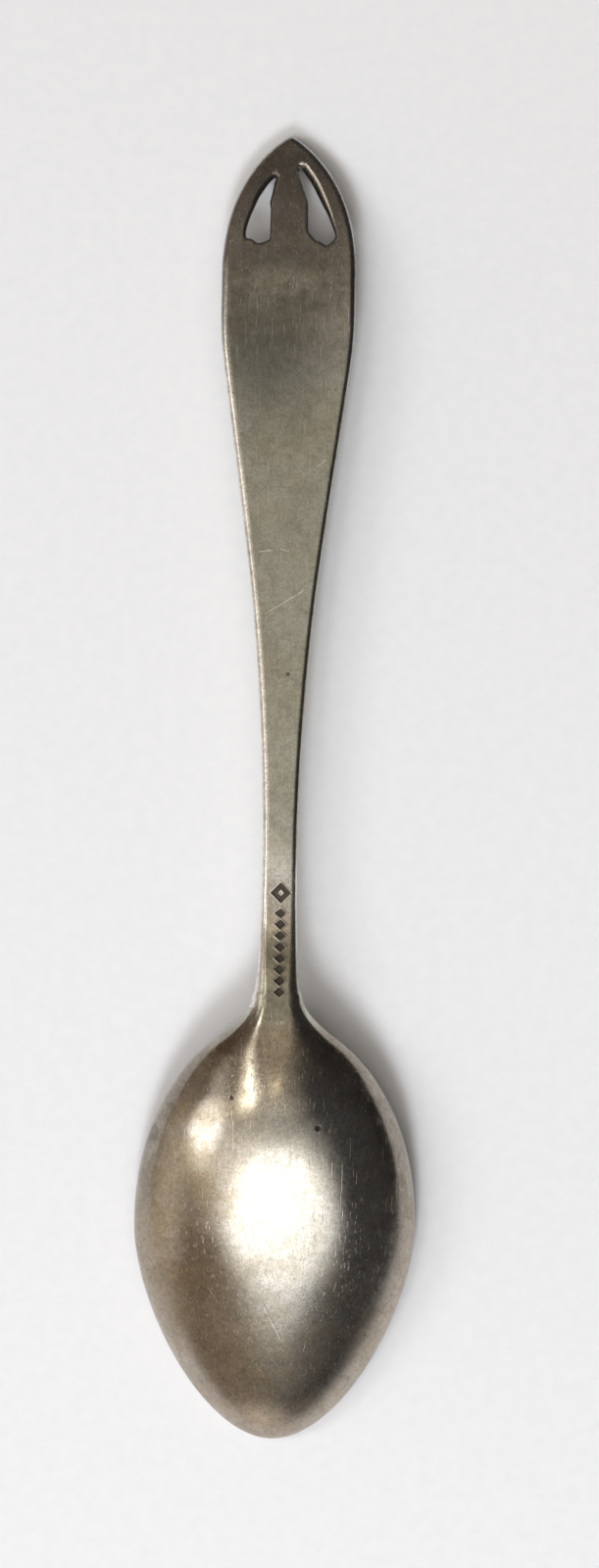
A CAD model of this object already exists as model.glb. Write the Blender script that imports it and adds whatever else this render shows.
import math

import bpy
import numpy as np
from mathutils import Matrix, Vector
from mathutils.geometry import delaunay_2d_cdt


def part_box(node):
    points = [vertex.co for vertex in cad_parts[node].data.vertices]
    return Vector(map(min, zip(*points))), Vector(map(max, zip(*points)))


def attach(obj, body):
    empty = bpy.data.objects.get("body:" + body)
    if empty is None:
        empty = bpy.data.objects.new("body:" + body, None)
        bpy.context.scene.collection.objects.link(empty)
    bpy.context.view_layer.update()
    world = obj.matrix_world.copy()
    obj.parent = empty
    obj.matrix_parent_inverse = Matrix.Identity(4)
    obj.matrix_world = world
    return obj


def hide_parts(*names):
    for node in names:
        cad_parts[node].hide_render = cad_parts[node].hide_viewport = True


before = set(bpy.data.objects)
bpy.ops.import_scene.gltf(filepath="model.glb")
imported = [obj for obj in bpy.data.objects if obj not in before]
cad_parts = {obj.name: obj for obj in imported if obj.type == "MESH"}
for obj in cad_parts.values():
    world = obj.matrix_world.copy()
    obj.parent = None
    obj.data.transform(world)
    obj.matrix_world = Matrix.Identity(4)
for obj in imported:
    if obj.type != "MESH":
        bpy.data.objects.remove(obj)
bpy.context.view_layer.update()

# Sizes are in mm. Stations, S, run along the spoon from the tip of the bowl.
MM = 0.001
TIP_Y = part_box("bowl")[0][1] / MM          # the tip of the bowl, in mm along Y
SPOON_L = 108.0
CROWN_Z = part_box("bowl")[1][2] / MM        # top of the bowl's back
WIDE_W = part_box("bowl")[1][0] / MM         # greatest half width
WIDE_S = 18                                # station of the greatest width
NECK_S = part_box("bowl")[1][1] / MM - TIP_Y
BLADE_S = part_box("shank")[1][1] / MM - TIP_Y
FINIAL_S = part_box("handle_blade")[1][1] / MM - TIP_Y
STEM_HALF_W, BLADE_HALF_W = 1.42, 5.52     # narrowest and widest of the handle
DECK_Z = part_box("handle_blade")[1][2] / MM  # flat back of the handle above the table
BLADE_T = 1.3                              # thickness of the handle
FRONT_Z = DECK_Z - BLADE_T
APEX_Z = 1.5                               # the tip of the finial bends down to the table
LEVEL_S, BEND_S = 47.0, 88.0               # the handle is level between these
RIM_W = 0.9                                # width of the rim, seen from the front
WALL_T = 0.8                               # wall of the bowl at the crown
NECK_LIFT = 4.55                           # underside of the neck above the table
NECK_T = 2.05                              # thickness at the neck
EDGE_W, EDGE_H = 0.5, 0.38                 # rounded back edge of stem and blade
LIP_R = 0.16                               # rounding of the rim and of the front edge
ROUND_END_S, EDGE_START_S = 29.0, 43.0     # half ellipse before, flat back after
CAVITY_END_S = 34.6                        # the hollow runs out here
HEEL_S, HEEL_Z = 13.0, CROWN_Z - 1.5       # end of the steep rise from the tip
CROWN_S = 25.0
CURVE_SAMPLES = 1200
PROFILE_STEP = 0.04                        # spacing of the evened side profile
SMOOTH_FROM, SMOOTH_SIGMA = 5.0, 1.1       # it is evened from here, over this width
SMOOTH_RAMP = 3.0


# ---------------------------------------------------------------- profile curves
def bez(p, t):
    p = np.asarray(p, float)
    t = np.asarray(t, float)[..., None]
    return ((1 - t) ** 3 * p[0] + 3 * t * (1 - t) ** 2 * p[1]
            + 3 * t * t * (1 - t) * p[2] + t ** 3 * p[3])


def ease(u):
    u = np.clip(u, 0, 1)
    return u * u * (3 - 2 * u)


def chain(curves, key):
    """Dense table of a chain of curves, sorted along its station column."""
    pts = np.vstack([bez(c, np.linspace(0, 1, CURVE_SAMPLES)) for c in curves])
    order = np.argsort(pts[:, key], kind="stable")
    return pts[order]


# Plan outline as [half width, station]: tip, shoulder, throat, neck, stem, blade, arch.
W_CURVES = [
    [[0, 0], [5.72, 0], [WIDE_W, 11.17], [WIDE_W, WIDE_S]],
    [[WIDE_W, WIDE_S], [WIDE_W, 26.8], [7.52, 31.59], [5.05, 33.38]],
    [[5.05, 33.38], [1.72, 35.8], [2.25, 36.7], [2, 37.16]],
    [[2, 37.16], [1.55, 38], [STEM_HALF_W, 43.5], [STEM_HALF_W, 48.16]],
    [[STEM_HALF_W, 48.16], [STEM_HALF_W, 55.8], [1.99, 65.1], [3.11, 73.5]],
    [[3.11, 73.5], [5.69, 92.7], [BLADE_HALF_W, 88.5], [BLADE_HALF_W, 96.45]],
    [[BLADE_HALF_W, 96.45], [BLADE_HALF_W, 104.87], [0.5, 107.9], [0, SPOON_L]],
]
W_TABLE = chain(W_CURVES, 1)
# Side view of the underside and of the back, as [station, height].
UNDER_TABLE = chain([
    [[0, 0], [8, 0.35], [22, 2.75], [37, NECK_LIFT]],
    [[37, NECK_LIFT], [39.5, NECK_LIFT + 0.3], [42, FRONT_Z], [LEVEL_S, FRONT_Z]],
    [[BEND_S, FRONT_Z], [94, FRONT_Z], [100.5, FRONT_Z - 1.1], [107, 0]],
    [[107, 0], [107.3, 0], [107.6, 0], [SPOON_L, 0]]], 0)
NECK_TOP = NECK_LIFT + NECK_T
BACK_TABLE = chain([
    [[0, LIP_R], [0, 3.6], [5, HEEL_Z - 2], [HEEL_S, HEEL_Z]],
    [[HEEL_S, HEEL_Z], [17, HEEL_Z + 1], [21, CROWN_Z], [CROWN_S, CROWN_Z]],
    [[CROWN_S, CROWN_Z], [30, CROWN_Z], [32, NECK_TOP + 0.35], [37, NECK_TOP]],
    [[37, NECK_TOP], [40, NECK_TOP - 0.21], [42, DECK_Z], [LEVEL_S, DECK_Z]],
    [[BEND_S, DECK_Z], [94, DECK_Z], [100, DECK_Z - 0.65], [SPOON_L, APEX_Z]]], 0)
HOLLOW_HEEL = HEEL_Z - WALL_T


def smoothed(table):
    """Evens out the small steps in curvature where two curves meet."""
    xs = np.arange(0, SPOON_L + PROFILE_STEP, PROFILE_STEP)
    ys = np.interp(xs, table[:, 0], table[:, 1])
    r = int(4 * SMOOTH_SIGMA / PROFILE_STEP)
    k = np.exp(-0.5 * (np.arange(-r, r + 1) * PROFILE_STEP / SMOOTH_SIGMA) ** 2)
    k /= k.sum()
    soft = np.convolve(np.pad(ys, r, mode="edge"), k, mode="valid")
    u = ease((xs - SMOOTH_FROM) / SMOOTH_RAMP)
    return xs, ys + (soft - ys) * u


SMOOTH_BACK = smoothed(BACK_TABLE)
SMOOTH_UNDER = smoothed(UNDER_TABLE)


def half_w(s):
    return np.interp(s, W_TABLE[:, 1], W_TABLE[:, 0])


def under_z(s):
    return np.interp(s, *SMOOTH_UNDER)


def back_z(s):
    s = np.asarray(s, float)
    return np.where(s < SMOOTH_FROM, np.interp(s, BACK_TABLE[:, 0], BACK_TABLE[:, 1]),
                    np.interp(s, *SMOOTH_BACK))


HOLLOW_TOP = CROWN_Z - WALL_T
HOLLOW_TABLE = chain([
    [[RIM_W, 0], [RIM_W, 3], [5.5, HOLLOW_HEEL - 1.95], [HEEL_S, HOLLOW_HEEL]],
    [[HEEL_S, HOLLOW_HEEL], [17, HOLLOW_HEEL + 1], [21, HOLLOW_TOP], [CROWN_S, HOLLOW_TOP]],
    [[CROWN_S, HOLLOW_TOP], [29, HOLLOW_TOP], [31.5, 6],
     [CAVITY_END_S, float(under_z(CAVITY_END_S)) + 0.01]]], 0)


def hollow_z(s):
    return np.maximum(np.interp(s, HOLLOW_TABLE[:, 0], HOLLOW_TABLE[:, 1]), under_z(s))


def round_u(s):
    return ease((s - ROUND_END_S) / (EDGE_START_S - ROUND_END_S))


def section_back(s, n_round, n_flat):
    """Points over the back at one station, right edge to left edge, as (x, z)."""
    w = float(half_w(s))
    top = float(back_z(s))
    u = float(round_u(s))
    base = float(under_z(s)) + LIP_R
    rw = min(w, w + (EDGE_W - w) * u)
    full = max(top - base, 1e-4)
    rh = full + (EDGE_H - full) * u
    a = np.linspace(0, math.pi / 2, n_round + 1)
    right = np.stack([w - rw + rw * np.cos(a), top - rh + rh * np.sin(a)], 1)
    flat = np.linspace(w - rw, -(w - rw), n_flat + 1)[1:-1]
    mid = np.stack([flat, np.full(len(flat), top)], 1)
    left = right[::-1] * [-1, 1]
    return np.vstack([right, mid, left])


# ---------------------------------------------------------------- mesh helpers
def grid_normals(g, closed):
    """Unit normals of a grid of points [row, column, xyz]. The caller turns them outward."""
    di = np.gradient(g, axis=0)
    if closed:
        dj = (np.roll(g, -1, axis=1) - np.roll(g, 1, axis=1)) / 2
    else:
        dj = np.gradient(g, axis=1)
    n = np.cross(di, dj)
    length = np.linalg.norm(n, axis=2, keepdims=True)
    return n / np.maximum(length, 1e-12)


def add_piece(name, verts, faces, normals=None, cap_from=None, grime=None, edge=None):
    """A mesh object in metres. normals are per vertex; faces from cap_from on stay flat."""
    me = bpy.data.meshes.new(name)
    me.from_pydata([tuple(v) for v in np.asarray(verts) * MM], [], faces)
    me.validate()
    for p in me.polygons:
        p.use_smooth = True
    for key, values in (("grime", grime), ("edge", edge)):
        if values is None:
            values = np.zeros(len(verts))
        at = me.attributes.new(key, "FLOAT", "POINT")
        at.data.foreach_set("value", np.asarray(values, np.float32))
    me.update()
    if normals is not None:
        loops = []
        for i, p in enumerate(me.polygons):
            flat = cap_from is not None and i >= cap_from
            for v in p.vertices:
                loops.append(tuple(p.normal) if flat else tuple(normals[v]))
        me.normals_split_custom_set(loops)
    ob = bpy.data.objects.new(name, me)
    bpy.context.scene.collection.objects.link(ob)
    return ob


def grid_faces(rows, cols, closed, first=0):
    out = []
    span = cols if closed else cols - 1
    for i in range(rows - 1):
        for j in range(span):
            k = (j + 1) % cols
            a = first + i * cols
            b = a + cols
            out.append((a + j, a + k, b + k, b + j))
    return out


def to_world(s, xz):
    """Section points (x, z) at station s to xyz in mm."""
    return np.stack([xz[:, 0], np.full(len(xz), s + TIP_Y), xz[:, 1]], 1)


# ---------------------------------------------------------------- stem and blade
PUNCH_S, PUNCH_PITCH, PUNCH_COUNT, PUNCH_DEPTH = 37.3, 0.92, 8, 0.14
PUNCH_X = 0.15                             # the row stands this far right of the middle
PUNCH_SKEW, PUNCH_HALF = 0.85, 0.26        # shape and half size of a lozenge
RING_GAP, RING_OUTER, RING_INNER = 0.75, 0.55, 0.25
DENT_EDGE = 0.09                           # softness of the edge of a punch
THROWN_H, THROWN_AT, THROWN_W = 0.012, 0.08, 0.06   # metal thrown up round a punch


def punch_sdf(x, s):
    """Signed distance to the nearest punch, negative inside."""
    best = np.full(np.broadcast(x, s).shape, 9.0)
    px = x - PUNCH_X
    for i in range(PUNCH_COUNT):
        ps = s - (PUNCH_S + i * PUNCH_PITCH)
        best = np.minimum(best, (abs(px) * PUNCH_SKEW + abs(ps)) / math.hypot(PUNCH_SKEW, 1)
                          - PUNCH_HALF)
    ps = s - (PUNCH_S + PUNCH_COUNT * PUNCH_PITCH + RING_GAP)
    d = (abs(px) + abs(ps)) / math.sqrt(2)
    return np.minimum(best, np.maximum(d - RING_OUTER, RING_INNER - d))


FIELD_FROM, FIELD_TO, BORDER_W, FIELD_DEPTH = 67.0, 87.5, 0.95, 0.25
FIELD_EDGE = 0.22                          # softness of the edge of the field
BEAD_COUNT, BEAD_R0, BEAD_R1, BEAD_INSET = 7, 0.35, 0.75, 1.65
BEAD_CLEAR = 0.02                          # a bead stays this far inside the border's face


def front_relief(x, s):
    """How far the front of the blade is sunk at (x, s), in mm."""
    inside = np.minimum(half_w(s) - BORDER_W - abs(x),
                        np.minimum(s - FIELD_FROM, FIELD_TO - s))
    sunk = FIELD_DEPTH * ease(inside / FIELD_EDGE + 0.5)
    for i in range(BEAD_COUNT):
        u = i / (BEAD_COUNT - 1)
        r = BEAD_R0 + (BEAD_R1 - BEAD_R0) * u
        at = FIELD_FROM + BEAD_INSET + (FIELD_TO - FIELD_FROM - 2 * BEAD_INSET) * u
        d = np.hypot(x, s - at)
        dome = r - np.sqrt(np.maximum(r * r - d * d, 0))
        sunk = np.where(d < r, np.minimum(sunk, BEAD_CLEAR + dome), sunk)
    return sunk


# points round each back edge, across the flat back, and round each lip of the front
N_ROUND, N_FLAT, N_LIP = 8, 44, 4


def bar_section(s, n_front):
    """Closed loop of the stem or blade at a station, with its relief and punches."""
    back = section_back(s, N_ROUND, N_FLAT)
    flat = np.zeros(len(back), bool)
    flat[N_ROUND:-N_ROUND] = True
    d = punch_sdf(back[:, 0], np.full(len(back), s))
    dent = PUNCH_DEPTH * ease(0.5 - d / DENT_EDGE)
    thrown = THROWN_H * np.exp(-((d - THROWN_AT) / THROWN_W) ** 2)
    back[:, 1] -= np.where(flat, dent - thrown, 0)
    grime_back = np.where(flat, ease(0.6 - d / (2 * THROWN_AT)), 0)
    w, z = float(half_w(s)), float(under_z(s))
    a = np.linspace(0, math.pi / 2, N_LIP + 1)
    corner = np.stack([w - LIP_R + LIP_R * np.cos(a), z + LIP_R - LIP_R * np.sin(a)], 1)
    left = corner * [-1, 1]
    xs = np.linspace(-(w - LIP_R), w - LIP_R, n_front + 1)[1:-1]
    sunk = front_relief(xs, np.full(len(xs), s))
    front = np.stack([xs, z + sunk], 1)
    right = corner[::-1]
    loop = np.vstack([back, left, front, right])
    # the right wall is dull and dark
    grime = np.concatenate([grime_back, np.zeros(len(left)), sunk / FIELD_DEPTH,
                            np.ones(len(right))])
    # the left edge is rubbed bright
    over = np.clip((-back[:, 0] - (w - EDGE_W - 0.12)) / EDGE_W, 0, 1)
    edge = np.concatenate([ease(over / 0.45), np.ones(len(left)), np.zeros(len(front)),
                           np.zeros(len(right))])
    return to_world(s, loop), grime, edge


def bar_piece(name, stations, n_front):
    """Stem or blade between stations; one ghost row at each end sets the normals there."""
    step0, step1 = stations[1] - stations[0], stations[-1] - stations[-2]
    full = [stations[0] - step0] + list(stations) + [stations[-1] + step1]
    secs = [bar_section(s, n_front) for s in full]
    g = np.array([p for p, _, _ in secs])
    n = -grid_normals(g, True)
    g, n = g[1:-1], n[1:-1]
    grime = np.array([q for _, q, _ in secs])[1:-1]
    edge = np.array([q for _, _, q in secs])[1:-1]
    rows, cols = g.shape[:2]
    faces = grid_faces(rows, cols, True)
    caps = len(faces)
    faces.append(tuple(range(cols - 1, -1, -1)))
    faces.append(tuple((rows - 1) * cols + j for j in range(cols)))
    return add_piece(name, g.reshape(-1, 3), faces, n.reshape(-1, 3), caps,
                     grime.reshape(-1), edge.reshape(-1))


# ---------------------------------------------------------------- bowl
RIM_FULL, RIM_BAND = 2.2, 5.2              # heights of the tarnished band over the rim
TIP_ROWS, BODY_ROWS = 84, 76               # rows along the bowl before and after WIDE_S
HALF_COLS = 52                             # points round each half of a section
GHOST_STEP = 0.24                          # one row past the neck sets the normals there


def plan_normals(out_s, inner):
    """Outward normals, in plan, of the outline and of the hollow's edge."""
    eps = 1e-3
    slope = (half_w(out_s + eps) - half_w(np.maximum(out_s - eps, 0))) / (
        out_s + eps - np.maximum(out_s - eps, 0))
    nx, ny = 1 / np.hypot(1, slope), -slope / np.hypot(1, slope)
    nx[0], ny[0] = 0, -1
    di = np.gradient(inner, axis=0)
    li = np.hypot(di[:, 0], di[:, 1])
    mx, my = di[:, 1] / li, -di[:, 0] / li
    mx[0], my[0] = 0, -1
    return nx, ny, mx, my


def bowl_section(s, inner_at, normals, closed):
    """Loop round the bowl at one row: back, rounded rim, hollow, and rim again."""
    vx, vy, mx, my = normals
    back = to_world(s, section_back(s, HALF_COLS, 2))
    w, zu = float(half_w(s)), float(under_z(s))
    b = np.linspace(0, math.pi / 2, 5)[1:]
    lip_out = np.stack([w - LIP_R * (1 - np.cos(b)) * vx,
                        s + TIP_Y - LIP_R * (1 - np.cos(b)) * vy,
                        zu + LIP_R * (1 - np.sin(b))], 1)
    if w < 3 and s < WIDE_S:
        lip_out[:, 0] = np.maximum(lip_out[:, 0], 0)
    xi, si = inner_at
    zi = float(under_z(si))
    r = 0.0 if closed else min(LIP_R, 0.5 * float(hollow_z(si) - zi))
    c = np.linspace(0, math.pi / 2, 5)
    lip_in = np.stack([xi + r * (1 - np.sin(c)) * mx,
                       si + TIP_Y + r * (1 - np.sin(c)) * my,
                       zi + r * (1 - np.cos(c))], 1)
    h = max(float(hollow_z(si)) - zi - r, 0.0)
    a = np.linspace(0, math.pi / 2, HALF_COLS + 1)[1:]
    hollow = np.stack([xi * np.cos(a), np.full(len(a), si + TIP_Y), zi + r + h * np.sin(a)], 1)
    flip = np.array([-1, 1, 1])
    loop = np.vstack([back, lip_out * flip, lip_in * flip, hollow * flip,
                      hollow[::-1][1:], lip_in[::-1], lip_out[::-1]])
    return loop, len(back)


def bowl_grid():
    """Grid of points [row, column, xyz] and its normals."""
    t = np.linspace(0, 1, TIP_ROWS + 1)
    out_s = np.concatenate([bez(W_CURVES[0], t)[:, 1],
                            np.linspace(WIDE_S, NECK_S, BODY_ROWS + 1)[1:]])
    w = WIDE_W - RIM_W
    in_a = [[0, RIM_W], [5.4, RIM_W], [w, 11.2], [w, WIDE_S]]
    in_b = [[w, WIDE_S], [w, 26.2], [6.6, 32.4], [0, CAVITY_END_S]]
    inner = np.vstack([bez(in_a, t), bez(in_b, np.linspace(0, 1, BODY_ROWS + 1))[1:]])
    rows = len(out_s)
    normals = plan_normals(out_s, inner)
    grid = []
    for i in range(rows + 1):
        s = out_s[-1] + GHOST_STEP if i == rows else out_s[i]
        k = min(i, rows - 1)
        loop, back_cols = bowl_section(s, inner[k], [v[k] for v in normals], i >= rows - 1)
        grid.append(loop)
    g = np.array(grid)
    n = -grid_normals(g, True)
    g, n = g[:rows], n[:rows]
    n[0, :back_cols] = [0, -1, 0]
    return g, n


def unique(items):
    """The items without repeats, in order."""
    return list(dict.fromkeys(items))


def weld(points):
    """Which points to keep, and where each point goes, when those that coincide are one."""
    key = {}
    index = np.zeros(len(points), int)
    keep = []
    for v, p in enumerate(np.round(points, 5)):
        k = tuple(p)
        if k not in key:
            key[k] = len(keep)
            keep.append(v)
        index[v] = key[k]
    return keep, index


def bowl_piece():
    g, n = bowl_grid()
    rows, cols = g.shape[:2]
    points, normals = g.reshape(-1, 3), n.reshape(-1, 3)
    # points fall together at the tip and at the end of the hollow
    keep, index = weld(points)
    faces = [unique(int(index[v]) for v in f) for f in grid_faces(rows, cols, True)]
    faces = [tuple(f) for f in faces if len(f) > 2]
    cap = len(faces)
    faces.append(tuple(unique(int(index[(rows - 1) * cols + j]) for j in range(cols))))
    vn = normals[keep]
    vn[np.linalg.norm(vn, axis=1) < 0.5] = [0, 0, -1]
    kept = points[keep]
    # how near the rim each point of the back stands: 1 up to RIM_FULL, 0 from RIM_BAND up,
    # and none of it at the neck
    rise = kept[:, 2] - under_z(kept[:, 1] - TIP_Y)
    fade = 1 - ease((kept[:, 1] - TIP_Y - (NECK_S - 2)) / 2)
    edge = (1 - ease((rise - RIM_FULL) / (RIM_BAND - RIM_FULL))) * fade
    return add_piece("bowl_shell", kept, faces, vn, cap, np.zeros(len(keep)), edge)


bowl = bowl_piece()
# rows stand close together where the punches are
near = np.arange(NECK_S, LEVEL_S, 0.05)
stem_s = np.concatenate([near, np.linspace(LEVEL_S, BLADE_S, 70)])
stem = bar_piece("stem_bar", stem_s, 24)
blade = bar_piece("handle_plate", np.linspace(BLADE_S, FINIAL_S, 190), 84)


# ---------------------------------------------------------------- finial
LEFT_HOLE = [[-1.63, 99.2], [-2.24, 98.94], [-2.68, 98.86], [-3.14, 99.27], [-3.63, 99.27],
             [-3.64, 100], [-3.33, 101.1], [-2.62, 102.8], [-1.95, 103.9], [-1.34, 104.6],
             [-1.15, 104.5], [-1.33, 104], [-1.48, 103.2], [-1.71, 102.3], [-1.6, 101.9]]
RIGHT_HOLE = [[1.5, 100], [1.83, 99.5], [2.24, 99.1], [2.57, 99.06], [3.06, 98.7],
              [3.3, 98.9], [3.71, 99.3], [3.78, 99.7], [3.28, 101], [2.52, 102.5],
              [1.77, 104], [0.94, 105.2], [0.49, 105.15], [1.3, 102.8], [1.46, 102.4]]
TOWER_CUT = [[-3.64, FINIAL_S], [3.75, FINIAL_S], [3.75, 99.5], [3.3, 99.8], [2.2, 100.6],
             [1.9, 102.6], [1.3, 104], [0.72, 105.16], [-1.25, 104.53], [-1.5, 104.2],
             [-1.85, 103.4], [-2.1, 102.4], [-2.1, 100], [-3.3, 99.7], [-3.64, 99.5]]


# spacing of points along the outer edge, the openings, the foot and the tower's cut
OUTER_STEP, HOLE_STEP, FOOT_STEP, CUT_STEP = 0.1, 0.07, 0.18, 0.15
HOLE_PASSES = 10                           # softening of the corners of the openings
RING_OFFSETS = (0.025, 0.06, 0.11, 0.17, 0.24, 0.32, 0.41, 0.5, 0.58)
DENSE_WITHIN = 0.3                         # rings nearer an edge keep all their points
GRID_STEP, GRID_CLEAR = 0.13, 0.62         # plain grid inside the rings
CUT_CLEAR = 0.05                           # free points stay off the tower's cut
POINT_GAP, CELL = 0.028, 0.05              # and this far from each other
WALL_LEVELS = 3                            # rows of points down an edge wall
THINNEST = 0.1                             # metal left between a window and the back
WINDOW_X, WINDOW_S = 0.7, (99.6, 101.4)    # windows of the tower
WINDOW_HALF_W, WINDOW_FOOT, WINDOW_SPRING = 0.35, 0.55, 0.2
WINDOW_DEPTH, WINDOW_EDGE = 0.35, 0.16


def resample(p, step, closed):
    """Points about a step apart along a polyline."""
    p = np.asarray(p, float)
    if closed:
        p = np.vstack([p, p[:1]])
    d = np.hypot(*np.diff(p, axis=0).T)
    at = np.concatenate([[0], np.cumsum(d)])
    n = max(int(round(at[-1] / step)), 3)
    q = np.linspace(0, at[-1], n + 1)
    out = np.stack([np.interp(q, at, p[:, 0]), np.interp(q, at, p[:, 1])], 1)
    return out[:-1] if closed else out


def soften(p, passes):
    """Rounds the corners of a closed outline by averaging neighbours."""
    for _ in range(passes):
        p = 0.5 * p + 0.25 * (np.roll(p, 1, axis=0) + np.roll(p, -1, axis=0))
    return p


def inside(poly, pts):
    """Which points lie inside a closed outline."""
    x, y = pts[:, 0][:, None], pts[:, 1][:, None]
    a, b = poly, np.roll(poly, -1, axis=0)
    cross = (a[:, 1] > y) != (b[:, 1] > y)
    with np.errstate(divide="ignore", invalid="ignore"):
        at = (b[:, 0] - a[:, 0]) * (y - a[:, 1]) / (b[:, 1] - a[:, 1]) + a[:, 0]
    return (np.sum(cross & (x < at), axis=1) % 2) == 1


def distance(poly, pts, closed):
    """Distance from each point to a polyline."""
    a, b = poly, np.roll(poly, -1, axis=0)
    if not closed:
        a, b = a[:-1], b[:-1]
    best = np.full(len(pts), 9.0)
    batch = 2000
    for lo in range(0, len(pts), batch):
        p = pts[lo:lo + batch][:, None]
        ab = b - a
        t = np.clip(((p - a) * ab).sum(2) / np.maximum((ab ** 2).sum(1), 1e-12), 0, 1)
        q = a + t[..., None] * ab
        best[lo:lo + batch] = np.hypot(*np.moveaxis(q - p, 2, 0)).min(1)
    return best


def finial_outlines():
    """Outer edge, the two openings, and the closed outline of the finial, in plan."""
    arch = bez(W_CURVES[6], np.linspace(0, 1, 400))
    right = np.vstack([[half_w(FINIAL_S), FINIAL_S], arch[arch[:, 1] > FINIAL_S + 0.05]])
    left = right[::-1][1:] * [-1, 1]
    outer = resample(np.vstack([right, left]), OUTER_STEP, False)
    holes = [soften(resample(h, HOLE_STEP, True), HOLE_PASSES)
             for h in (LEFT_HOLE, RIGHT_HOLE)]
    w = half_w(FINIAL_S)
    foot = resample([[-w, FINIAL_S], [w, FINIAL_S]], FOOT_STEP, False)
    return outer, holes, np.vstack([outer, foot[1:-1]])


OUTER, HOLES, REGION = finial_outlines()
CUT = np.array(TOWER_CUT)


def in_metal(p):
    return inside(REGION, p) & ~inside(HOLES[0], p) & ~inside(HOLES[1], p)


def edge_distances(p):
    """Distances to the outer edge, the left opening and the right opening."""
    return [distance(OUTER, p, False), distance(HOLES[0], p, True), distance(HOLES[1], p, True)]


def ring_points():
    """Points in rings beside the three edges, where the surface turns over."""
    out = []
    for k, (ring, closed) in enumerate(((OUTER, False), (HOLES[0], True), (HOLES[1], True))):
        along = (np.roll(ring, -1, axis=0) - np.roll(ring, 1, axis=0) if closed
                 else np.gradient(ring, axis=0))
        side = np.stack([-along[:, 1], along[:, 0]], 1)
        side /= np.linalg.norm(side, axis=1, keepdims=True)
        for off in RING_OFFSETS:
            for sign in (1, -1):
                q = ring + sign * off * side
                d = edge_distances(q)
                good = in_metal(q) & (d[k] > off * 0.97) & (
                    np.minimum.reduce(d) > off * 0.97) & (q[:, 1] > FINIAL_S + 0.05)
                out.append(q[good][::1 if off < DENSE_WITHIN else 2])
    return np.vstack(out)


def grid_points():
    """A staggered grid in the metal away from the edges."""
    gx, gy = np.meshgrid(np.arange(-5.5, 5.51, GRID_STEP),
                         np.arange(FINIAL_S + 0.12, SPOON_L, GRID_STEP))
    gx = gx + GRID_STEP / 2 * (np.arange(gx.shape[0])[:, None] % 2)
    q = np.stack([gx.ravel(), gy.ravel()], 1)
    return q[in_metal(q) & (np.minimum.reduce(edge_distances(q)) > GRID_CLEAR)]


def thinned(free):
    """Leaves out points that fall almost together, or on the tower's cut."""
    free = free[distance(CUT, free, True) > CUT_CLEAR]
    cell = {}
    picked = []
    for p in free:
        k = (int(p[0] / CELL), int(p[1] / CELL))
        others = [cell[(k[0] + i, k[1] + j)] for i in (-1, 0, 1) for j in (-1, 0, 1)
                  if (k[0] + i, k[1] + j) in cell]
        if all((p[0] - o[0]) ** 2 + (p[1] - o[1]) ** 2 > POINT_GAP ** 2 for o in others):
            cell[k] = p
            picked.append(p)
    return np.array(picked)


def loop_edges(first, n):
    return [(first + i, first + (i + 1) % n) for i in range(n)]


def triangulated(free):
    """Plan points and triangles of the finial, with an edge along the tower's cut."""
    verts = [tuple(p) for p in REGION]
    edges = loop_edges(0, len(REGION))
    for h in HOLES:
        edges += loop_edges(len(verts), len(h))
        verts += [tuple(p) for p in h]
    cut_line = resample(CUT, CUT_STEP, True)
    mid = (cut_line + np.roll(cut_line, -1, axis=0)) / 2
    use = in_metal(mid) & (mid[:, 1] > FINIAL_S + 0.01)
    edges += [e for e, ok in zip(loop_edges(len(verts), len(cut_line)), use) if ok]
    verts += [tuple(p) for p in cut_line]
    verts += [tuple(p) for p in free]
    out_v, _, out_f, _, _, _ = delaunay_2d_cdt([Vector(v) for v in verts], edges, [], 0, 1e-5)
    plan = np.array([(v.x, v.y) for v in out_v])
    tri = np.array([f for f in out_f if len(f) == 3])
    tri = tri[in_metal(plan[tri].mean(1))]
    area = np.cross(plan[tri[:, 1]] - plan[tri[:, 0]], plan[tri[:, 2]] - plan[tri[:, 0]])
    tri = tri[abs(area) > 1e-9]
    area = area[abs(area) > 1e-9]
    tri[area < 0] = tri[area < 0][:, ::-1]
    return plan, tri


def fall(d, width, height):
    """How far a rounded edge has dropped at a distance from it."""
    u = np.clip(1 - d / width, 0, 1)
    return height * (1 - np.sqrt(np.maximum(1 - u * u, 0)))


def draft(d, width, height):
    """The same for the nearly straight slope round an opening."""
    u = np.clip(1 - d / width, 0, 1)
    return height * (0.75 * u + 0.25 * u ** 3)


def left_draft_w(p):
    return 0.16 + 0.10 * ease((p[:, 1] - 101.5) / 2)


def right_draft_w(p):
    """Broad along the inside of the right arm."""
    side = ease((p[:, 0] - (1.0 - 0.55 * (p[:, 1] - 104.4))) / 0.5)
    return 0.15 + 0.38 * side * ease((p[:, 1] - 99.6) / 4.0)


def window_sink(p):
    """How far the tower's windows are sunk in the front."""
    sunk = np.zeros(len(p))
    for cx in (-WINDOW_X, WINDOW_X):
        for cs in WINDOW_S:
            px, ps = abs(p[:, 0] - cx), p[:, 1] - cs
            box = np.maximum(px - WINDOW_HALF_W,
                             np.maximum(-WINDOW_FOOT - ps, ps - WINDOW_SPRING))
            top = np.hypot(px, ps - WINDOW_SPRING) - WINDOW_HALF_W
            sunk += WINDOW_DEPTH * ease(0.5 - np.minimum(box, top) / WINDOW_EDGE)
    return sunk


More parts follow.
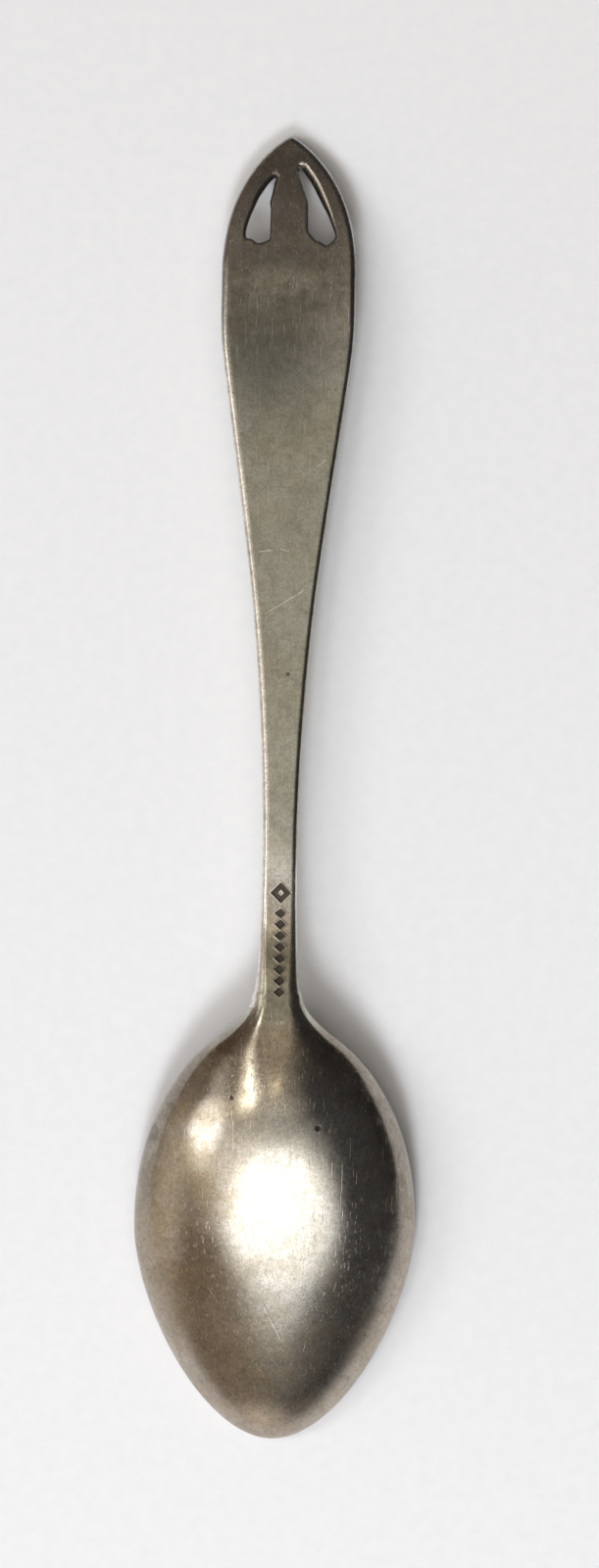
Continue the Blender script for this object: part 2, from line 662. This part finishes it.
def finial_surface(plan):
    """Back and front heights, dirt, dirt on the walls, and bright metal at plan points."""
    d0, d1, d2 = edge_distances(plan)
    w1, w2 = left_draft_w(plan), right_draft_w(plan)
    down = np.maximum.reduce([fall(d0, EDGE_W, EDGE_H), draft(d1, w1, 0.22 + 0.8 * w1),
                              draft(d2, w2, 0.22 + 0.8 * w2)])
    up = np.maximum.reduce([fall(d, LIP_R, LIP_R) for d in (d0, d1, d2)])
    zb = back_z(plan[:, 1]) - down
    zf = np.minimum(under_z(plan[:, 1]) + up + window_sink(plan), zb - THINNEST)
    dirt = np.maximum(1 - d1 / 0.35, 1 - d2 / 0.35).clip(0, 1)
    # the broad draft inside the right arm is rubbed bright
    bright = ease((w2 - 0.2) / 0.12) * (d2 < w2) * (d2 < d1)
    dirt = dirt * (1 - bright)
    # the outer wall on the right is dull and dark
    wall_dirt = np.maximum(dirt, (d0 < 0.05) * (plan[:, 0] > 0))
    return zb, zf, dirt, wall_dirt, bright


def slab(plan, tri, surface):
    """Closed mesh over and under these triangles, with walls where they end."""
    zb, zf, dirt, wall_dirt, bright = surface
    used = np.unique(tri)
    m = len(used)
    new = np.full(len(plan), -1)
    new[used] = np.arange(m)
    faces = [tuple(int(x) for x in new[f]) for f in tri]
    faces += [tuple(int(x) + m for x in new[f][::-1]) for f in tri]
    sides = dict.fromkeys((int(a), int(b)) for f in tri
                          for a, b in ((f[0], f[1]), (f[1], f[2]), (f[2], f[0])))
    rim = [e for e in sides if (e[1], e[0]) not in sides]
    wall_v = sorted({v for e in rim for v in e})
    first = {v: 2 * m + WALL_LEVELS * i for i, v in enumerate(wall_v)}
    walls = [[plan[v, 0], plan[v, 1] + TIP_Y,
              zb[v] + (zf[v] - zb[v]) * (k / (WALL_LEVELS + 1))]
             for v in wall_v for k in range(1, WALL_LEVELS + 1)]
    for a, b in rim:
        ca, cb = ([int(new[v])] + [first[v] + k for k in range(WALL_LEVELS)]
                  + [int(new[v]) + m] for v in (a, b))
        for k in range(WALL_LEVELS + 1):
            faces.append((ca[k], ca[k + 1], cb[k + 1], cb[k]))
    flat = np.stack([plan[used, 0], plan[used, 1] + TIP_Y], 1)
    points = np.vstack([np.column_stack([flat, zb[used]]), np.column_stack([flat, zf[used]]),
                        np.array(walls)])
    grime = np.concatenate([dirt[used], dirt[used],
                            np.repeat([wall_dirt[v] for v in wall_v], WALL_LEVELS)])
    edge = np.concatenate([bright[used], np.zeros(m), np.zeros(WALL_LEVELS * len(wall_v))])
    return points, faces, grime, edge


def vertex_normals(points, faces):
    acc = np.zeros_like(points)
    for f in faces:
        p = points[list(f)]
        if len(f) == 3:
            n = np.cross(p[1] - p[0], p[2] - p[0])
        else:
            n = np.cross(p[2] - p[0], p[3] - p[1])
        for v in f:
            acc[v] += n
    return acc / np.maximum(np.linalg.norm(acc, axis=1, keepdims=True), 1e-12)


def slope(height, s):
    return float(height(s + 0.05) - height(s - 0.05)) / 0.1


def whole_normals(plan, tri, surface):
    """Normals of the unparted finial by place, so that no seam shows at the cuts."""
    points, faces, _, _ = slab(plan, tri, surface)
    slope_back, slope_front = slope(back_z, FINIAL_S), slope(under_z, FINIAL_S)
    table = {}
    for p, n in zip(np.round(points, 4), vertex_normals(points, faces)):
        # at the cut across the handle the back and front run straight on
        if abs(p[1] - TIP_Y - FINIAL_S) < 1e-3:
            n = np.array([n[0], -n[2] * (slope_back if n[2] > 0 else slope_front), n[2]])
            n = n / max(np.linalg.norm(n), 1e-9)
        table[tuple(p)] = n
    return table


def finial_pieces():
    """The arch with its two arms, and the tower between the openings."""
    plan, tri = triangulated(thinned(np.vstack([ring_points(), grid_points()])))
    surface = finial_surface(plan)
    normals = whole_normals(plan, tri, surface)
    in_tower = inside(CUT, plan[tri].mean(1))
    made = []
    for name, pick in (("finial_arms", ~in_tower), ("finial_center", in_tower)):
        points, faces, grime, edge = slab(plan, tri[pick], surface)
        own = vertex_normals(points, faces)
        n = np.array([normals.get(tuple(q), own[i])
                      for i, q in enumerate(np.round(points, 4))])
        made.append(add_piece(name, points, faces, n, None, grime, edge))
    return made


arms, tower = finial_pieces()


# ---------------------------------------------------------------- materials
class Tree:
    """Small helper that adds and links shader nodes."""

    def __init__(self, node_tree):
        self.nt = node_tree
        self.nt.nodes.clear()

    def add(self, kind, **inputs):
        node = self.nt.nodes.new(kind)
        for key, value in inputs.items():
            if hasattr(node, key) and key not in node.inputs:
                setattr(node, key, value)
            else:
                self.set(node, key, value)
        return node

    def set(self, node, key, value):
        socket = node.inputs[key]
        if isinstance(value, bpy.types.NodeSocket):
            self.nt.links.new(value, socket)
        else:
            socket.default_value = value

    def math(self, op, a, b=0.0, clamp=False):
        node = self.nt.nodes.new("ShaderNodeMath")
        node.operation = op
        node.use_clamp = clamp
        self.set(node, 0, a)
        self.set(node, 1, b)
        return node.outputs[0]

    def times(self, *values):
        out = values[0]
        for v in values[1:]:
            out = self.math("MULTIPLY", out, v)
        return out

    def ramp(self, value, low, high, to_low=0.0, to_high=1.0):
        node = self.nt.nodes.new("ShaderNodeMapRange")
        node.interpolation_type = "SMOOTHSTEP"
        self.set(node, 0, value)
        for i, v in enumerate((low, high, to_low, to_high)):
            self.set(node, i + 1, v)
        return node.outputs[0]

    def mix(self, factor, a, b, how="MIX"):
        node = self.nt.nodes.new("ShaderNodeMix")
        node.data_type = "RGBA"
        node.blend_type = how
        self.set(node, 0, factor)
        for i, v in ((6, a), (7, b)):
            self.set(node, i, v if isinstance(v, bpy.types.NodeSocket) else (*v, 1.0))
        return node.outputs[2]

    def noise(self, vector, scale, detail=4.0, rough=0.55, distortion=0.0):
        node = self.add("ShaderNodeTexNoise", Scale=scale, Detail=detail, Roughness=rough,
                        Distortion=distortion)
        self.set(node, "Vector", vector)
        return node.outputs[0]

    def stretched(self, vector, angle, along, across, offset=0.0):
        node = self.nt.nodes.new("ShaderNodeMapping")
        self.set(node, "Vector", vector)
        node.inputs["Rotation"].default_value = (0, 0, angle)
        node.inputs["Scale"].default_value = (across, along, across)
        node.inputs["Location"].default_value = (offset, offset * 0.7, 0)
        return node.outputs[0]

    def xyz(self, vector):
        node = self.nt.nodes.new("ShaderNodeSeparateXYZ")
        self.set(node, 0, vector)
        return node.outputs[0], node.outputs[1], node.outputs[2]

    def blob(self, x, y, at, half, inner, outer):
        """1 inside an ellipse round a point, falling to 0; half is its half width and height."""
        u = self.math("DIVIDE", self.math("SUBTRACT", x, at[0]), half[0])
        v = self.math("DIVIDE", self.math("SUBTRACT", y, at[1]), half[1])
        e = self.math("SQRT", self.math("ADD", self.math("MULTIPLY", u, u),
                                        self.math("MULTIPLY", v, v)))
        return self.ramp(e, inner, outer, 1.0, 0.0)

    def stroke(self, x, y, start, end, width):
        """1 on a thin straight scratch from start to end, in metres."""
        dx, dy = end[0] - start[0], end[1] - start[1]
        length = math.hypot(dx, dy)
        ux, uy = dx / length, dy / length
        px = self.math("SUBTRACT", x, (start[0] + end[0]) / 2)
        py = self.math("SUBTRACT", y, (start[1] + end[1]) / 2)
        along = self.math("ABSOLUTE", self.math("ADD", self.math("MULTIPLY", px, ux),
                                                self.math("MULTIPLY", py, uy)))
        across = self.math("ABSOLUTE", self.math("SUBTRACT", self.math("MULTIPLY", px, uy),
                                                 self.math("MULTIPLY", py, ux)))
        return self.math("MULTIPLY", self.ramp(along, length * 0.3, length * 0.5, 1.0, 0.0),
                         self.ramp(across, width * 0.3, width, 1.0, 0.0))


def new_material(name):
    mat = bpy.data.materials.new(name)
    mat.use_nodes = True
    return mat, Tree(mat.node_tree)


CLEAN = (0.93, 0.905, 0.86)        # polished silver
WARM = (0.66, 0.57, 0.42)          # thin golden brown tarnish
RIM = (0.49, 0.41, 0.335)          # tarnished rim of the bowl
RIM_UPPER = (0.27, 0.225, 0.18)    # and its darker part towards the neck
DULL = (0.545, 0.54, 0.48)         # even grey tarnish of the handle
DULL_BROWN = (0.44, 0.42, 0.345)
SMOKY = (0.56, 0.55, 0.55)         # tarnish of the finial
SMOKY_BROWN = (0.44, 0.41, 0.37)
DARK = (0.10, 0.088, 0.072)        # dirt left in dents and corners
CLOUD_TINT = (0.42, 0.43, 0.42)    # darkens the bend before the finial
SPECK_TINT = (0.50, 0.50, 0.46)    # darkens the fine specks

# small dents (x, y, radius) and scratches (from, to, width) seen on the back, in mm
# from the middle of the spoon
PITS = ((3.5, -27.7, 0.30), (-3.6, -25.3, 0.24), (0.45, 9.4, 0.2))
STROKES = ((-5.4, -40.8, -4.6, -42.0, 0.09), (-0.9, -42.0, 0.9, -45.6, 0.08),
           (-2.3, 19.3, -0.9, 19.5, 0.10), (-0.4, 19.6, 0.4, 19.4, 0.08),
           (2.5, 26.3, 3.3, 27.0, 0.09), (-1.6, 14.2, 1.9, 16.4, 0.06))
# three fans of fine scratches: angle, offset of the pattern, and how few there are
HAIRLINES = ((0.12, 0.0, 0.67), (-0.55, 3.1, 0.66), (1.15, 7.3, 0.67))
SCRATCH_DEPTH, PIT_DEPTH, GRAIN_DEPTH, MOTTLE_DEPTH = 1.1, 2.0, 0.22, 0.30
DIRT_COVER, SCRATCH_SHINE = 0.85, 0.10


def scratches(t, co, x, y):
    """1 on the fine scratches and on the single ones in STROKES."""
    out = 0.0
    for angle, offset, cover in HAIRLINES:
        v = t.stretched(co, angle, 230.0, 5600.0, offset)
        line = t.ramp(t.noise(v, 1.0, 2.0, 0.5), cover, cover + 0.06)
        out = t.math("MAXIMUM", out, line)
    for x0, y0, x1, y1, width in STROKES:
        line = t.stroke(x, y, (x0 * MM, y0 * MM), (x1 * MM, y1 * MM), width * MM)
        out = t.math("MAXIMUM", out, line)
    return out


def pits(t, x, y):
    """1 in the small dents in PITS."""
    out = 0.0
    for px, py, r in PITS:
        dot = t.blob(x, y, (px * MM, py * MM), (r * MM, r * MM), 0.5, 1.1)
        out = t.math("MAXIMUM", out, dot)
    return out


def handle_base(t, x, y, blotch, mottle, edge, fade):
    """Dull metal of stem, blade and finial. fade: the bright edge fades to the finial."""
    base = t.mix(blotch, DULL, DULL_BROWN)
    # rubbed cleaner near the neck
    rubbed = t.times(t.ramp(y, -0.0155, -0.0085), t.ramp(y, -0.0085, -0.003, 1.0, 0.0))
    base = t.mix(rubbed, base, CLEAN)
    base = t.mix(t.ramp(y, 0.030, 0.042), base, t.mix(blotch, SMOKY, SMOKY_BROWN))
    # a darker cloud where the finial bends down
    shade = t.math("MAXIMUM", t.blob(x, y, (-0.0008, 0.0415), (0.007, 0.0036), 0.5, 1.3),
                   t.blob(x, y, (-0.0018, 0.0375), (0.0052, 0.0080), 0.3, 1.4))
    base = t.mix(t.math("MULTIPLY", shade, 0.85), base,
                 t.mix(1.0, base, CLOUD_TINT, "MULTIPLY"))
    clean = t.times(edge, t.ramp(mottle, 0.36, 0.5, 0.6, 1.0))
    if fade:
        clean = t.math("MULTIPLY", clean, t.ramp(y, 0.033, 0.040, 1.0, 0.15))
    return t.mix(clean, base, CLEAN)


def bowl_base(t, x, y, blotch, mottle, edge, upper):
    """Polished metal of the bowl. upper: 1 on the half of the rim towards the neck."""
    # more tarnish on the left and towards the tip
    left = t.ramp(x, -0.009, 0.002, 1.0, 0.25)
    low = t.ramp(y, -0.052, -0.036, 1.0, 0.3)
    base = t.mix(t.math("MULTIPLY", blotch, t.math("MAXIMUM", left, low)), CLEAN, WARM)
    base = t.mix(t.math("MULTIPLY", edge, t.ramp(mottle, 0.3, 0.6, 1.0, 0.75)), base,
                 t.mix(upper, RIM, RIM_UPPER))
    # the neck end is as dull as the stem it runs into
    return t.mix(t.ramp(y, -0.0215, -0.0175), base, t.mix(blotch, DULL, DULL_BROWN))


def silver(name, place, rough_low, rough_high):
    """Tarnished silver for one place: "bowl", "handle" or "finial"."""
    mat, t = new_material(name)
    co = t.add("ShaderNodeTexCoord").outputs["Object"]
    x, y, _ = t.xyz(co)
    cloud = t.noise(co, 170.0, 6.0, 0.62, 0.5)
    mottle = t.noise(co, 640.0, 6.0, 0.68, 0.7)
    grain = t.noise(co, 5200.0, 3.0, 0.6)
    brushed = t.noise(t.stretched(co, 0.05, 420.0, 6200.0), 1.0, 3.0, 0.6)
    patch = t.noise(co, 430.0, 5.0, 0.6, 1.2)
    flecks = t.noise(co, 2300.0, 4.0, 0.65)
    scratch, pit = scratches(t, co, x, y), pits(t, x, y)
    grime = t.add("ShaderNodeAttribute", attribute_name="grime").outputs["Fac"]
    edge = t.add("ShaderNodeAttribute", attribute_name="edge").outputs["Fac"]
    blotch = t.ramp(t.math("ADD", t.math("MULTIPLY", cloud, 0.55),
                           t.math("MULTIPLY", mottle, 0.45)), 0.40, 0.62)

    rough = t.math("ADD", t.ramp(blotch, 0.0, 1.0, rough_low, rough_high),
                   t.math("MULTIPLY", scratch, 0.08))
    if place == "bowl":
        upper = t.ramp(y, -0.042, -0.029)
        base = bowl_base(t, x, y, blotch, mottle, edge, upper)
        # the rim is less polished round the tip, and almost free of fine dents
        rim_rough = t.math("MULTIPLY", edge, t.ramp(upper, 0.0, 1.0, 0.22, 0.03))
        rough = t.math("ADD", rough, rim_rough)
        mottle_depth = t.ramp(edge, 0.0, 1.0, MOTTLE_DEPTH, 0.05)
    else:
        base = handle_base(t, x, y, blotch, mottle, edge, place == "handle")
        mottle_depth = MOTTLE_DEPTH
    rough = t.math("ADD", rough, t.math("MULTIPLY", grime, 0.4), True)

    for mask, low, high, share in ((grain, 0.40, 0.66, 0.40), (brushed, 0.42, 0.66, 0.14),
                                   (patch, 0.42, 0.60, 0.24), (flecks, 0.46, 0.64, 0.28)):
        base = t.mix(t.math("MULTIPLY", t.ramp(mask, low, high), share), base,
                     t.mix(1.0, base, SPECK_TINT, "MULTIPLY"))
    # scratches lay the clean metal bare
    base = t.mix(t.math("MULTIPLY", scratch, SCRATCH_SHINE), base, CLEAN)
    for dirt in (grime, pit):
        base = t.mix(t.math("MULTIPLY", dirt, DIRT_COVER), base, DARK)

    height = t.math("ADD", t.math("MULTIPLY", mottle, mottle_depth),
                    t.math("MULTIPLY", grain, GRAIN_DEPTH))
    for mark, depth in ((scratch, SCRATCH_DEPTH), (pit, PIT_DEPTH)):
        height = t.math("SUBTRACT", height, t.math("MULTIPLY", mark, depth))
    bump = t.add("ShaderNodeBump", Strength=0.2, Distance=0.00002, Height=height)
    bsdf = t.add("ShaderNodeBsdfPrincipled", Metallic=1.0, Roughness=rough)
    t.set(bsdf, "Base Color", base)
    t.set(bsdf, "Normal", bump.outputs[0])
    out = t.add("ShaderNodeOutputMaterial")
    t.set(out, "Surface", bsdf.outputs[0])
    return mat


bowl_mat = silver("bowl_polished_silver", "bowl", 0.13, 0.2)
stem_mat = silver("stem_satin_silver", "handle", 0.2, 0.27)
finial_mat = silver("finial_dark_silver", "finial", 0.2, 0.28)

for ob, mat, node, slot in (
        (bowl, bowl_mat, "bowl", "bowl_silver"),
        (stem, stem_mat, "shank", "stem_silver"),
        (blade, stem_mat, "handle_blade", "stem_silver"),
        (arms, finial_mat, "finial_arch", "finial_silver"),
        (tower, finial_mat, "finial_tower", "finial_silver")):
    ob.data.materials.append(mat)
    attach(ob, "root")
    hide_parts(node)


# ---------------------------------------------------------------- floor, lights, camera
FLOOR_HALF, FLOOR_CELLS = 1.6, 24          # half size of the paper in metres
PAPER, PAPER_PALE = (0.87, 0.87, 0.89), (0.89, 0.89, 0.905)


def floor_piece():
    """Sheet of white paper under the spoon."""
    n = FLOOR_CELLS
    xs = np.linspace(-FLOOR_HALF, FLOOR_HALF, n + 1)
    verts = [(x, y, 0.0) for y in xs for x in xs]
    faces = [(i * (n + 1) + j, i * (n + 1) + j + 1, (i + 1) * (n + 1) + j + 1,
              (i + 1) * (n + 1) + j) for i in range(n) for j in range(n)]
    me = bpy.data.meshes.new("paper_floor")
    me.from_pydata(verts, [], faces)
    ob = bpy.data.objects.new("paper_floor", me)
    bpy.context.scene.collection.objects.link(ob)
    mat, t = new_material("paper")
    co = t.add("ShaderNodeTexCoord").outputs["Object"]
    fibre = t.noise(co, 900.0, 3.0, 0.5)
    tone = t.mix(t.ramp(fibre, 0.3, 0.7), PAPER, PAPER_PALE)
    bsdf = t.add("ShaderNodeBsdfPrincipled", Roughness=0.9)
    t.set(bsdf, "Base Color", tone)
    t.set(bsdf, "Specular IOR Level", 0.1)
    out = t.add("ShaderNodeOutputMaterial")
    t.set(out, "Surface", bsdf.outputs[0])
    me.materials.append(mat)


floor_piece()


BOWL_AT = (0.0, TIP_Y * MM + 0.0187, 0.006)    # the lamps face the bowl
COOL = (0.90, 0.945, 0.99)
# name, tilts from straight up towards +X and +Y in degrees, distance, size, and what it
# gives on a face turned to it
LAMPS = (("key", -5, -36, 0.62, (0.13, 0.20), 1.45),
         ("left_window", -23, -14.0, 0.8, (0.20, 0.26), 0.46),
         ("low_left", -46, 5.0, 0.8, (0.13, 0.24), 0.38),
         ("ceiling", -8, 6, 1.1, (1.1, 1.1), 0.21))


def lamp(name, tilt_x, tilt_y, dist, size, irradiance):
    """Soft lamp. The room below is what the metal mirrors, so reflections leave it out."""
    toward = Vector((math.tan(math.radians(tilt_x)), math.tan(math.radians(tilt_y)), 1.0))
    toward.normalize()
    data = bpy.data.lights.new(name, "AREA")
    data.shape = "RECTANGLE"
    data.size, data.size_y = size
    data.energy = irradiance * math.pi * dist * dist
    data.color = COOL
    ob = bpy.data.objects.new(name, data)
    bpy.context.scene.collection.objects.link(ob)
    ob.matrix_world = (Matrix.Translation(Vector(BOWL_AT) + toward * dist)
                       @ toward.to_track_quat("Z", "Y").to_matrix().to_4x4())
    ob.visible_glossy = False


for row in LAMPS:
    lamp(*row)

# Glows in the upper half of the room, by the X and Y of their direction: middle, half
# sizes, where the fall starts and ends, strength, tint.
GLOWS = (
    ((0.04, -0.315), (0.385, 0.235), 0.72, 1.32, 1.35, (1.0, 0.985, 0.95)),   # window
    ((-0.06, -0.12), (0.46, 0.30), 0.40, 1.40, 0.42, (1.0, 0.95, 0.84)),      # round it
    ((-0.36, -0.16), (0.30, 0.20), 0.40, 1.40, 0.30, (1.0, 0.92, 0.78)),
    ((-0.62, 0.12), (0.15, 0.19), 0.55, 1.50, 1.90, (1.0, 0.98, 0.94)),       # left
    ((-0.32, 0.26), (0.12, 0.09), 0.40, 1.40, 0.50, (1.0, 0.86, 0.62)),
    ((-0.26, 0.29), (0.055, 0.08), 0.60, 1.40, 4.50, (1.0, 0.94, 0.82)),      # small, strong
    ((-0.02, 0.34), (0.035, 0.045), 0.60, 1.40, 1.60, (1.0, 0.82, 0.56)),
    ((0.02, 0.24), (0.22, 0.10), 0.40, 1.50, 0.25, (1.0, 0.92, 0.78)),        # wall behind
    ((-0.04, 0.44), (0.22, 0.16), 0.40, 1.50, 0.12, (1.0, 0.86, 0.66)),
    ((-0.95, -0.15), (0.20, 0.60), 0.40, 1.60, 0.46, (1.0, 0.92, 0.80)),      # horizon
    ((-0.25, -1.0), (0.50, 0.11), 0.40, 1.60, 0.90, (1.0, 0.90, 0.78)),
    ((0.0, -0.64), (0.46, 0.18), 0.50, 1.50, 0.09, (1.0, 0.88, 0.72)))
WALL_LEFT, WALL_RIGHT = (0.185, 0.135, 0.095), (0.045, 0.043, 0.042)


def room():
    """The room the silver mirrors: a broad soft window overhead towards the bowl's tip,
    a smaller one to the left, small warm glows towards the finial, a warm wall on the
    left and a dark one on the right."""
    world = bpy.data.worlds.new("room")
    bpy.context.scene.world = world
    world.use_nodes = True
    t = Tree(world.node_tree)
    x, y, z = t.xyz(t.add("ShaderNodeTexCoord").outputs["Generated"])
    colour = t.mix(t.ramp(x, -0.64, 0.42), WALL_LEFT, WALL_RIGHT)
    for at, half, inner, outer, strength, tint in GLOWS:
        glow = t.times(t.blob(x, y, at, half, inner, outer), t.ramp(z, 0.0, 0.06))
        colour = t.mix(glow, colour,
                       t.mix(1.0, colour, tuple(strength * c for c in tint), "ADD"))
    bg = t.add("ShaderNodeBackground", Strength=1.0)
    t.set(bg, "Color", colour)
    out = t.add("ShaderNodeOutputWorld")
    t.set(out, "Surface", bg.outputs[0])


room()

VIEW_TILT = math.radians(0.5)              # off straight down, towards +X
ROLL = math.radians(0.9)
VIEW_DIST = 0.45
VIEW_H = 0.1297                            # what the picture's height spans, in metres
target = Vector((0.0015, 0.00036, 0.002))
cam = bpy.data.cameras.new("photo_view")
cam.sensor_width = 36.0
cam.lens = 36.0 * VIEW_DIST / VIEW_H
cam.clip_start, cam.clip_end = 0.01, 10.0
cam_ob = bpy.data.objects.new("photo_view", cam)
bpy.context.scene.collection.objects.link(cam_ob)
back = Vector((math.sin(VIEW_TILT), 0, math.cos(VIEW_TILT)))
right = Vector((math.cos(VIEW_TILT), 0, -math.sin(VIEW_TILT)))
up = Vector((0, 1, 0))
right, up = (right * math.cos(ROLL) + up * math.sin(ROLL),
             up * math.cos(ROLL) - right * math.sin(ROLL))
m = Matrix((right, up, back)).transposed().to_4x4()
m.translation = target + back * VIEW_DIST
cam_ob.matrix_world = m
bpy.context.scene.camera = cam_ob
bpy.context.scene.view_settings.view_transform = "Standard"
